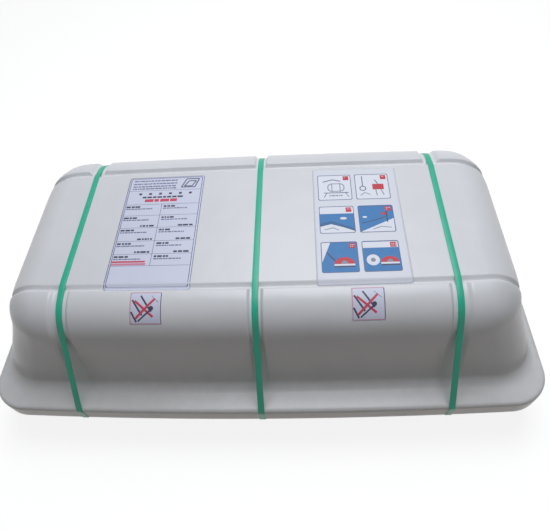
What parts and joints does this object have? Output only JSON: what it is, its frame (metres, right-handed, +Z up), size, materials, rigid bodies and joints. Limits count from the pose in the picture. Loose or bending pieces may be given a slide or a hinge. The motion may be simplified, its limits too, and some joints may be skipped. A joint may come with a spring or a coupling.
{
  "type": "inflatable life raft",
  "caption": "Inflatable life raft packed in a flat two-part moulded container with rolled bolsters and a wide flange, held shut by bands round it.",
  "frame": {"origin": "on the ground, under the middle of the container", "axes": "+X along the container's length, +Z up, the front with the handling labels faces -Y"},
  "size_m": [1.448, 0.8446, 0.4118],
  "materials": {
    "gelcoat": "white gelcoat on glass-fibre laminate",
    "seal_rubber": "black EPDM",
    "band_green": "green embossed polyester strapping",
    "clip_steel": "zinc-plated steel",
    "label_film": "printed vinyl film",
    "raft_orange": "orange coated fabric",
    "raft_black": "black rubber-coated fabric",
    "bag_grey": "grey woven nylon",
    "cylinder_red": "red painted steel",
    "valve_brass": "turned brass",
    "hose_rubber": "braided rubber hose",
    "foam_white": "closed-cell foam",
    "plastic_orange": "moulded orange plastic",
    "paddle_wood": "varnished beech",
    "lamp_clear": "translucent lamp dome"
  },
  "bodies": {
    "root": {"upper_shell": "gelcoat", "lower_shell": "gelcoat", "flange_seal": "seal_rubber", "strap_left": "band_green", "strap_middle": "band_green", "strap_right": "band_green", "strap_clip_left": "clip_steel", "strap_clip_middle": "clip_steel", "strap_clip_right": "clip_steel", "data_label": "label_film", "instruction_label": "label_film", "handling_label_left": "label_film", "handling_label_right": "label_film", "painter_gland": "seal_rubber", "drain_plug_left": "seal_rubber", "drain_plug_right": "seal_rubber", "raft_floor": "raft_orange", "lower_buoyancy_tube": "raft_black", "upper_buoyancy_tube": "raft_black", "canopy": "raft_orange", "gas_cylinder": "cylinder_red", "cylinder_cradle_left": "foam_white", "cylinder_cradle_right": "foam_white", "cylinder_valve": "valve_brass", "firing_head": "valve_brass", "inlet_valve_lower": "valve_brass", "inflation_hose_lower": "hose_rubber", "inlet_valve_upper": "valve_brass", "inflation_hose_upper": "hose_rubber", "sea_anchor_bag_lower": "raft_orange", "sea_anchor_bag_upper": "raft_orange", "hand_bellows": "plastic_orange", "painter_line_bag": "bag_grey", "emergency_pack": "raft_orange", "paddle_1": "paddle_wood", "paddle_2": "paddle_wood", "rescue_quoit": "plastic_orange", "repair_kit_bag": "bag_grey", "boarding_ladder_roll": "bag_grey", "safety_knife": "plastic_orange", "lamp_battery": "plastic_orange", "canopy_lamp": "lamp_clear"}
  },
  "joints": []
}
